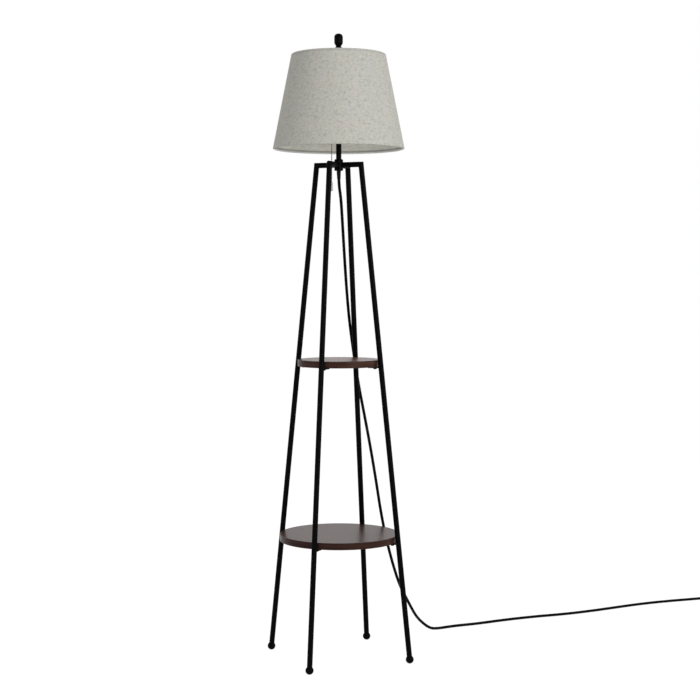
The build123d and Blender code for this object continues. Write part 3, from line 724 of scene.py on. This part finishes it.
def spun(
    mesh: bmesh.types.BMesh, verts: list[bmesh.types.BMVert], steps: int, angle: float = math.tau
) -> None:
    """Spin a profile about Z.

    Args:
        mesh: The shape, which holds the profile and nothing else.
        verts: The profile's vertices.
        steps: Steps in the spin.
        angle: How far it turns; a full turn is closed.
    """
    bmesh.ops.spin(
        mesh,
        geom=verts + list(mesh.edges),
        cent=(0.0, 0.0, 0.0),
        axis=(0.0, 0.0, 1.0),
        dvec=(0.0, 0.0, 0.0),
        angle=angle,
        steps=steps,
        use_merge=angle == math.tau,
        use_duplicate=False,
    )


# ---------------------------------------------------------------- the studio


@dataclass
class Studio:
    """The camera of the photograph, a pale floor and soft lights."""

    turn: float = 22.441             # degrees from the camera's axes to the lamp's
    distance: float = 3.605231       # metres
    height: float = 0.920718         # metres
    pitch: float = 2.942             # degrees, as are yaw and roll
    yaw: float = 0.416
    roll: float = -0.054
    focal: float = 1520.29           # pixels in a frame 700 wide
    frame_width: float = 700.0
    sensor: float = 36.0             # millimetres
    middle: float = 0.9              # height that the lights face
    room: float = 0.47               # strength of the even light
    floor_half: float = 60.0         # metres from its middle to a side

    def spot(self, right: float, back: float, up: float) -> Vector:
        """Return a place right of the lamp, beyond it and up, as the camera sees it."""
        return Matrix.Rotation(math.radians(self.turn), 3, "Z") @ Vector((right, back, up))

    def camera(self) -> bpy.types.Object:
        """Set up the camera.

        Returns:
            The camera.
        """
        data = bpy.data.cameras.new("photo_camera")
        data.sensor_width = self.sensor
        data.lens = self.focal * self.sensor / self.frame_width
        data.clip_end = 200.0
        camera = placed("photo_camera", data)
        aim = (
            Matrix.Rotation(math.radians(self.turn - self.yaw), 4, "Z")
            @ Matrix.Rotation(math.radians(90.0 - self.pitch), 4, "X")
            @ Matrix.Rotation(math.radians(self.roll), 4, "Z")
        )
        camera.matrix_world = Matrix.Translation(self.spot(0.0, -self.distance, self.height)) @ aim
        bpy.context.scene.camera = camera
        return camera

    def lamp(self, name: str, place: Vector, size: float, power: float) -> bpy.types.Object:
        """Add a soft area light that faces the middle of the lamp.

        Args:
            name: The light's name.
            place: Where it stands.
            size: Its side in metres.
            power: Its power in watts.

        Returns:
            The light.
        """
        data = bpy.data.lights.new(name, "AREA")
        data.size = size
        data.energy = power
        light = placed(name, data)
        towards = Vector((0.0, 0.0, self.middle)) - place
        facing = towards.to_track_quat("-Z", "Y").to_matrix().to_4x4()
        light.matrix_world = Matrix.Translation(place) @ facing
        return light

    def world(self) -> None:
        """Light the scene evenly, white where the camera or a gloss sees it."""
        world = bpy.data.worlds.new("studio")
        world.use_nodes = True
        bpy.context.scene.world = world
        graph = Graph(world.node_tree)
        room = graph.node("ShaderNodeBackground", {}, {"Color": WHITE, "Strength": self.room})
        white = graph.node("ShaderNodeBackground", {}, {"Color": WHITE, "Strength": 1.0})
        graph.end(graph.mixed(graph.seen(), room, white), "ShaderNodeOutputWorld")

    def floor(self) -> bpy.types.Object:
        """Lay the floor.

        Returns:
            The floor.
        """
        mesh = bmesh.new()
        bmesh.ops.create_grid(mesh, x_segments=2, y_segments=2, size=self.floor_half)
        floor = finished("floor", mesh, Look.FLOOR)
        return floor

    def build(self) -> list[bpy.types.Object]:
        """Set up the camera, the floor, the world and the lights.

        Returns:
            The camera, the floor and the lights.
        """
        bpy.context.scene.view_settings.view_transform = "Standard"
        self.world()
        return [
            self.camera(),
            self.floor(),
            self.lamp("key", self.spot(2.25, -2.65, 1.65), size=1.8, power=65.0),
            self.lamp("fill", self.spot(-2.8, -1.6, 1.3), size=2.4, power=13.0),
            self.lamp("rear", self.spot(0.6, 2.8, 2.6), size=2.0, power=16.0),
        ]


# ---------------------------------------------------------------- the cord


@dataclass
class Cord:
    """The mains lead: its route, its put-away coil, the relief under the hub and the plug."""

    radius: float = 3.6 * MM
    route: list[tuple[float, float, float]] = field(
        default_factory=lambda: [    # control points in millimetres, from the hub to the coil
            (0, 0, 1159.2), (0, 0, 1128), (-4, 23, 1096), (-8, 41, 1046), (-12, 63, 965),
            (-15, 83, 890), (-15, 99, 815), (-12, 110, 758), (-7, 121, 695), (1, 129, 632),
            (13, 134, 565), (27, 138, 487), (40, 142, 405), (51, 147, 325), (62, 158, 255),
            (73, 176, 190), (81, 200, 138), (98, 217, 94), (105, 243, 60), (107, 279, 35),
            (123, 307, 11), (133, 343, 3.6), (161, 384, 3.6), (210, 431, 3.6), (264, 499, 3.6),
            (326, 565, 3.6), (392, 622, 3.6), (452, 688, 3.6), (507, 759, 3.6), (562, 829, 3.6),
            (626, 893, 3.6), (696, 953, 3.6), (748, 1001, 3.6),
        ]
    )
    mean_turn: float = 40.0 * MM     # radius in the middle of the coil's turns
    layer_low: float = 4.3 * MM      # height of the lower turns
    points_a_turn: int = 16
    last_step: int = 54              # step round the coil at which the lead leaves for the plug
    plug_lead: float = 4.0 * MM      # from there to the plug's relief
    relief: float = 28.0 * MM        # length of the plug's ribbed relief
    body: float = 27.0 * MM          # length of the plug's body
    body_width: float = 24.0 * MM
    body_height: float = 13.0 * MM
    body_taper: float = 0.74         # width where the relief ends, as a share of the whole
    nose_points: int = 200           # the lead's first points, near which the nose is

    def __post_init__(self) -> None:
        """Work out where the coil lies from the last run of the route."""
        self.points = [Vector(point) * MM for point in self.route]
        last = self.points[-1] - self.points[-2]
        self.arrival = Vector((last.x, last.y, 0.0)).normalized()
        self.across = Vector((self.arrival.y, -self.arrival.x, 0.0))
        end = self.points[-1]
        self.centre = Vector((end.x, end.y, 0.0)) + self.across * (self.mean_turn + self.radius)
        self.last_turn = self.last_step / self.points_a_turn
        self.ahead = self.onwards(self.last_turn)

    def outwards(self, turns: float) -> Vector:
        """Return the direction from the coil's centre after a number of turns."""
        angle = turns * math.tau
        return self.arrival * math.sin(angle) - self.across * math.cos(angle)

    def onwards(self, turns: float) -> Vector:
        """Return the direction in which the lead runs after a number of turns."""
        angle = turns * math.tau
        return self.arrival * math.cos(angle) + self.across * math.sin(angle)

    def coil_points(self) -> list[Vector]:
        """Lay the turns: out and in on the floor, then in and out on top, with the swaps apart.

        Returns:
            The coil's points, in order.
        """
        inner = self.mean_turn - self.radius
        outer = self.mean_turn + self.radius
        low = self.layer_low
        high = low + 2.0 * self.radius
        keys = [                     # turns, distance from the coil's centre, height
            (0.0, outer, low),
            (0.80, outer, low),
            (0.97, inner, low),
            (1.62, inner, low),
            (1.79, inner, high),
            (2.44, inner, high),
            (2.61, outer, high),
            (3.22, outer, high),
            (self.last_turn, outer + 2.0 * self.radius, self.body_height / 2),
        ]
        swell = 1.0 / math.cos(math.pi / self.points_a_turn)
        points = []
        for step in range(1, self.last_step + 1):
            turns = step / self.points_a_turn
            (begun, from_radius, from_height), (ended, to_radius, to_height) = next(
                pair for pair in zip(keys, keys[1:]) if turns <= pair[1][0] + HAIR
            )
            share = (turns - begun) / (ended - begun)
            radius = from_radius + (to_radius - from_radius) * share
            height = from_height + (to_height - from_height) * share
            flat = self.centre + self.outwards(turns) * radius * swell
            points.append(flat + Vector((0.0, 0.0, height)))
        return points

    def tail_start(self) -> Vector:
        """Find where the plug's relief begins.

        Returns:
            The place.
        """
        side = self.mean_turn + 3.0 * self.radius
        place = self.centre + self.outwards(self.last_turn) * side + self.ahead * self.plug_lead
        return place + Vector((0.0, 0.0, self.body_height / 2))

    def centreline(self) -> bpy.types.Object:
        """Draw the whole lead as one smooth spline.

        Returns:
            The curve object.
        """
        tail = self.tail_start()
        points = self.points + self.coil_points()[:-1]
        points += [tail + self.ahead * (reach * MM) for reach in (2.0, 12.0, 20.0)]
        data = bpy.data.curves.new("mains_lead", "CURVE")
        data.dimensions = "3D"
        spline = data.splines.new("NURBS")
        spline.points.add(len(points) - 1)
        for control, point in zip(spline.points, points):
            control.co = (*point, 1.0)
        spline.order_u = 3
        spline.use_endpoint_u = True
        data.resolution_u = 10
        data.bevel_depth = self.radius
        data.bevel_resolution = 6
        data.use_fill_caps = True
        lead = placed("mains_lead", data)
        Look.VINYL.dress(lead)
        return lead

    def sampled(self, lead: bpy.types.Object) -> list[Vector]:
        """Read points from the lead's own spline.

        Args:
            lead: The curve object.

        Returns:
            Points along its centre, from the hub.
        """
        depth = lead.data.bevel_depth
        lead.data.bevel_depth = 0.0
        bpy.context.view_layer.update()
        evaluated = lead.evaluated_get(bpy.context.evaluated_depsgraph_get())
        line = bpy.data.meshes.new_from_object(evaluated)
        points = [vert.co.copy() for vert in line.vertices]
        bpy.data.meshes.remove(line)
        lead.data.bevel_depth = depth
        return points

    def relief_nose(self, lead: bpy.types.Object) -> bpy.types.Object:
        """Make the bushing in the hub with its tapered nose, bent with the lead.

        Args:
            lead: The curve object that the nose follows.

        Returns:
            The bushing.
        """
        mesh = bmesh.new()
        top = self.points[0].z
        grooves, pitch, deep, taper = 5, 3.4, 0.4, 0.16
        profile = [(3.7, 3.4), (8.0, 3.4), (8.2, 3.2), (8.2, 0.4), (7.8, 0.0)]
        profile += [(5.6, 0.0), (5.25, -0.5)]
        for groove in range(grooves):
            level = -2.4 - pitch * groove
            width = 5.15 - taper * groove
            profile += [(width, level), (width - deep, level - 0.4)]
            profile += [(width - deep, level - 1.2), (width - 0.1, level - 1.6)]
        profile += [(4.3, -19.2), (4.0, -19.9), (3.65, -20.0)]
        outline = [Vector((radius * MM, 0.0, top + level * MM)) for radius, level in profile]
        spun(mesh, chain_of(mesh, outline), steps=40)
        bmesh.ops.recalc_face_normals(mesh, faces=mesh.faces)
        near_hub = self.sampled(lead)[:self.nose_points]
        for vert in mesh.verts:
            if vert.co.z < top:
                near = min(near_hub, key=lambda point: abs(point.z - vert.co.z))
                vert.co.x += near.x
                vert.co.y += near.y
        bushing = finished("cord_bushing_nose", mesh, Look.MOULDING)
        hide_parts("cord_bushing")
        return bushing

    def plug(self) -> bpy.types.Object:
        """Make the plug's moulding: a ribbed relief, a soft-edged body and finger grips.

        Returns:
            The moulding.
        """
        mesh = bmesh.new()
        ribs, pitch, deep, swell = 5, 4.6, 0.7, 0.18
        profile = [(0.0, -0.5), (4.3, -0.5), (4.7, 0.0)]
        for rib in range(ribs):
            start = 3.0 + pitch * rib
            width = 4.8 + swell * rib
            profile += [(width, start), (width - deep, start + 0.5)]
            profile += [(width - deep, start + 1.9), (width + 0.1, start + 2.4)]
        profile += [(5.8, 27.0), (5.8, 29.0), (0.0, 29.0)]
        outline = [Vector((radius * MM, 0.0, length * MM)) for radius, length in profile]
        spun(mesh, chain_of(mesh, outline), steps=32)
        turn = Matrix.Rotation(math.radians(90.0), 4, "Y")
        bmesh.ops.transform(mesh, matrix=turn, verts=mesh.verts)
        body = (self.body, self.body_width, self.body_height)
        self._block(mesh, (self.relief + self.body / 2, 0.0, 0.0), body, 3.0 * MM, self.body_taper)
        grip_size, sunk = (1.6 * MM, 1.2 * MM, 7.6 * MM), 0.2 * MM
        for side in (-1.0, 1.0):
            for grip in range(4):
                middle = self.relief + (6.5 + 3.6 * grip) * MM
                along = (middle - self.relief) / self.body
                width = self.body_width / 2 * (self.body_taper + (1.0 - self.body_taper) * along)
                place = (middle, side * (width - sunk), 0.0)
                self._block(mesh, place, grip_size, 0.5 * MM, 1.0)
        frame_of_plug = Matrix.Identity(4)
        frame_of_plug.col[0] = (*self.ahead, 0.0)
        frame_of_plug.col[1] = (-self.ahead.y, self.ahead.x, 0.0, 0.0)
        frame_of_plug.col[3] = (*self.tail_start(), 1.0)
        bmesh.ops.transform(mesh, matrix=frame_of_plug, verts=mesh.verts)
        bmesh.ops.remove_doubles(mesh, verts=mesh.verts, dist=1e-6)
        bmesh.ops.recalc_face_normals(mesh, faces=mesh.faces)
        moulding = finished("plug_moulding", mesh, Look.MOULDING)
        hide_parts("plug_body")
        return moulding

    @staticmethod
    def _block(
        mesh: bmesh.types.BMesh,
        middle: tuple[float, float, float],
        size: tuple[float, float, float],
        soft: float,
        taper: float,
    ) -> None:
        """Add a soft-edged block that narrows towards its start.

        Args:
            mesh: The shape to add to.
            middle: The block's middle.
            size: Its length, width and height.
            soft: Radius of its edges.
            taper: Its width at the start as a share of the width at the end.
        """
        made = bmesh.ops.create_cube(mesh, size=1.0)["verts"]
        bmesh.ops.scale(mesh, vec=size, verts=made)
        for vert in made:
            if vert.co.x < 0.0:
                vert.co.y *= taper
        bmesh.ops.translate(mesh, vec=middle, verts=made)
        edges = list(dict.fromkeys(edge for vert in made for edge in vert.link_edges))
        bmesh.ops.bevel(
            mesh,
            geom=edges,
            offset=soft,
            offset_type="OFFSET",
            segments=4,
            profile=0.5,
            affect="EDGES",
            material=-1,
        )

    def build(self) -> list[bpy.types.Object]:
        """Returns:
            The lead and its pieces.
        """
        lead = self.centreline()
        nose = self.relief_nose(lead)
        moulding = self.plug()
        for piece in (lead, nose, moulding):
            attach(piece, "lamp_frame")
        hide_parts("cord_tube", "cord_coil")
        blades, tie = (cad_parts[name] for name in ("plug_blades", "cord_tie"))
        Look.BRASS.dress(blades)
        Look.WRAP.dress(tie)
        return [lead, nose, moulding, blades, tie]


# ---------------------------------------------------------------- the shade


@dataclass
class LinenShade:
    """The shade's cloth, rolled over both rings, with a lapped seam at the back."""

    top_radius: float = 111.5 * MM
    bottom_radius: float = 155.0 * MM
    top: float = 1431.0 * MM
    height: float = 221.6 * MM
    cloth: float = 0.8 * MM
    wire: float = 1.6 * MM
    liner: float = 0.4 * MM
    hem: float = 5.0 * MM
    seam_at: float = 118.0           # degrees from +X, behind the lamp
    lap: float = 5.0                 # degrees that the cloth runs past a full turn
    lap_rise: float = 2.0            # degrees in which the lap climbs onto the other end
    lap_gap: float = 0.1 * MM
    steps: int = 196

    def __post_init__(self) -> None:
        """Work out the cloth's sweep, the wall's slope and the rings' places."""
        self.sweep = math.tau + math.radians(self.lap)
        roll = self.wire + self.cloth
        slope = math.atan2(self.bottom_radius - self.top_radius, self.height - 2.0 * roll)
        self.slope = slope
        self.along = Vector((math.sin(slope), 0.0, -math.cos(slope)))
        self.out = Vector((math.cos(slope), 0.0, math.sin(slope)))
        self.top_ring = Vector((self.top_radius - roll / math.cos(slope), 0.0, self.top - roll))
        bottom = self.top - self.height
        self.bottom_ring = Vector((self.bottom_radius - roll / math.cos(slope), 0.0, bottom + roll))

    def edge_line(self, ring: Vector, sense: float) -> list[Vector]:
        """Return the cloth's middle line round one ring, from the free hem to the outside.

        Args:
            ring: The ring's centre.
            sense: 1 at the top ring, -1 at the bottom.

        Returns:
            The line's points.
        """
        middle = self.wire + self.cloth / 2
        flat = self.wire - self.liner - self.cloth / 2
        hem = self.along * (sense * self.hem)
        points = [ring + hem * share + self.out * flat for share in (1.0, 0.72, 0.48)]
        for degrees in (135, 160, 185, 210, 235, 262, 290, 318, 340, 360):
            points.append(ring + self._round(sense, math.radians(degrees), middle))
        return points

    def _round(self, sense: float, angle: float, radius: float) -> Vector:
        """Return a step round a ring: half a turn is inwards, 3/4 over its far side, 1 outwards."""
        outwards = self.out * (math.cos(angle) * radius)
        return outwards + self.along * (sense * math.sin(angle) * radius)

    def build(self) -> list[bpy.types.Object]:
        """Make the cloth with its flat pattern as UVs, and dress the shade's other pieces.

        Returns:
            The cloth and the other pieces.
        """
        upper = self.edge_line(self.top_ring, 1.0)
        lower = self.edge_line(self.bottom_ring, -1.0)
        wall = [upper[-1].lerp(lower[-1], share) for share in (0.02, 0.25, 0.5, 0.75, 0.98)]
        profile = upper + wall + lower[::-1]
        mesh = bmesh.new()
        run = mesh.verts.layers.float.new("run")
        verts = chain_of(mesh, profile)
        outside = len(upper) - 1
        lengths = [0.0]
        for first, second in zip(profile, profile[1:]):
            lengths.append(lengths[-1] + (second - first).length)
        for vert, length in zip(verts, lengths):
            vert[run] = length - lengths[outside]
        spun(mesh, verts, self.steps, self.sweep)
        self._lay_flat(mesh, run, len(profile))
        bmesh.ops.recalc_face_normals(mesh, faces=mesh.faces)
        cloth = finished("linen_cloth", mesh, Look.LINEN)
        wall_of_cloth = cloth.modifiers.new("cloth_thickness", "SOLIDIFY")
        wall_of_cloth.thickness = self.cloth
        wall_of_cloth.offset = 0.0
        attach(cloth, "shade")
        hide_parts("shade_fabric")
        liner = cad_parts["shade_liner"]
        wires = [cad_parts[f"shade_{part}"] for part in ("top_ring", "bottom_ring", "spider")]
        Look.LINER.dress(liner)
        for wire in wires:
            Look.WHITE_WIRE.dress(wire)
        return [cloth, liner, *wires]

    def _lay_flat(self, mesh: bmesh.types.BMesh, run: bmesh.types.BMLayerItem, rows: int) -> None:
        """Lap the seam, turn it to the back and give every corner its place on the cut cloth.

        Args:
            mesh: The spun cloth, whose vertices lie in columns of the profile's points.
            run: The layer with each vertex's distance down the wall.
            rows: Points in the profile.
        """
        uvs = mesh.loops.layers.uv.new("cut_cloth")
        column = mesh.verts.layers.float.new("column")
        mesh.verts.ensure_lookup_table()
        for index, vert in enumerate(mesh.verts):
            vert[column] = self.sweep * (index // rows) / self.steps
        apex = self.top_radius / math.sin(self.slope)
        for vert in mesh.verts:
            past = vert[column] - (self.sweep - math.radians(self.lap + self.lap_rise))
            climbed = min(max(past / math.radians(self.lap_rise), 0.0), 1.0)
            lift = climbed * (self.cloth + self.lap_gap)
            level = math.hypot(vert.co.x, vert.co.y)
            if level > 0.0:
                vert.co.x *= (level + lift) / level
                vert.co.y *= (level + lift) / level
        for face in mesh.faces:
            for loop in face.loops:
                vert = loop.vert
                sector = (vert[column] - math.pi) * math.sin(self.slope)
                reach = apex + vert[run]
                loop[uvs].uv = (reach * math.sin(sector), reach * math.cos(sector))
        turn = Matrix.Rotation(math.radians(self.seam_at), 4, "Z")
        bmesh.ops.transform(mesh, matrix=turn, verts=mesh.verts)


# ---------------------------------------------------------------- carried-over pieces


@dataclass
class Dressing:
    """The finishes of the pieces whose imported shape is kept."""

    looks: dict[Look, tuple[str, ...]] = field(
        default_factory=lambda: {
            Look.STEEL: (
                *(f"{part}_{side}" for part in ("arm", "leg_upper", "leg_lower") for side in SIDES),
                *(f"{level}_shelf_tabs" for level in ("upper", "lower")),
                *(f"{level}_shelf_screws" for level in ("upper", "lower")),
                *(f"harp_{part}" for part in ("saddle", "wire", "top_stud")),
                *(f"harp_ferrule_{side}" for side in ("left", "right")),
                "stem_tube",
            ),
            Look.CASTING: (
                *(f"foot_{side}" for side in SIDES),
                "hub",
                "finial",
                "socket_cap",
                "socket_shell",
                "chain_bell",
            ),
            Look.ZINC: ("leg_couplers", "threaded_pipe", "pipe_nuts"),
            Look.PHENOLIC: ("switch_body",),
            Look.FIBRE: ("socket_insulator",),
            Look.BRASS: ("screw_shell", "centre_contact", "terminal_screws"),
            Look.VINYL: ("inner_lead",),
            Look.NICKEL: ("switch_link", "pull_chain", "chain_pendant"),
            Look.FROST: ("bulb_glass",),
            Look.BULB_CAP: ("bulb_base",),
            Look.UPPER_BOARD_PAINTED_LIGHT: ("upper_shelf",),
            Look.LOWER_BOARD: ("lower_shelf",),
        }
    )

    def build(self) -> list[bpy.types.Object]:
        """Dress every kept piece.

        Returns:
            The pieces.
        """
        dressed = []
        for look, names in self.looks.items():
            for name in names:
                look.dress(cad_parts[name])
                dressed.append(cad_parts[name])
        return dressed


def main() -> None:
    """Build the studio, the cord, the shade and the other looks."""
    logging.basicConfig(level=logging.INFO, format="%(name)s: %(message)s")
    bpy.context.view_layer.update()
    for assembly in (Studio(), Cord(), LinenShade(), Dressing()):
        for piece in assembly.build():
            LOG.info("%s: %s", type(assembly).__name__, piece.name)


if __name__ == "__main__":
    main()
